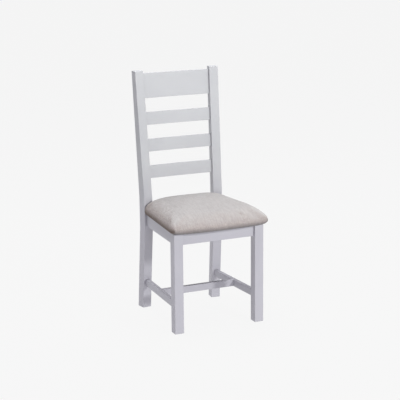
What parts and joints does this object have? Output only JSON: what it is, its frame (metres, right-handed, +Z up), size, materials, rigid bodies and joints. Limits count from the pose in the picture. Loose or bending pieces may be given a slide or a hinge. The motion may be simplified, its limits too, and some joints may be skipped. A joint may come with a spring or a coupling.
{
  "type": "ladderback dining chair",
  "caption": "Ladderback dining chair with raked posts, bowed slats under a broad top rail, a crowned linen seat screwed to a mortised frame, and a low H stretcher.",
  "frame": {"origin": "on the floor, at the middle of the chair's box", "axes": "+Z up, +Y towards the back of the chair, +X to the right for someone who looks at its front"},
  "size_m": [0.4433, 0.4902, 1.05],
  "materials": {
    "painted_wood": "satin",
    "bare_wood": "matte",
    "plywood": "matte",
    "foam": "matte",
    "linen": "matte",
    "nonwoven": "matte",
    "zinc_steel": "satin",
    "nylon": "matte"
  },
  "bodies": {
    "root": {"back_apron": "painted_wood", "back_post_left": "painted_wood", "back_post_right": "painted_wood", "corner_block_back_left": "bare_wood", "corner_block_back_right": "bare_wood", "corner_block_front_left": "bare_wood", "corner_block_front_right": "bare_wood", "corner_block_screws": "zinc_steel", "cover_staples": "zinc_steel", "cross_stretcher": "painted_wood", "front_apron": "painted_wood", "front_leg_left": "painted_wood", "front_leg_right": "painted_wood", "glide_back_left": "nylon", "glide_back_right": "nylon", "glide_front_left": "nylon", "glide_front_right": "nylon", "seat_board": "plywood", "seat_cover": "linen", "seat_dust_cover": "nonwoven", "seat_foam": "foam", "seat_screws": "zinc_steel", "side_apron_left": "painted_wood", "side_apron_right": "painted_wood", "side_stretcher_left": "painted_wood", "side_stretcher_right": "painted_wood", "slat_lower": "painted_wood", "slat_middle": "painted_wood", "slat_upper": "painted_wood", "top_rail": "painted_wood"}
  },
  "joints": []
}
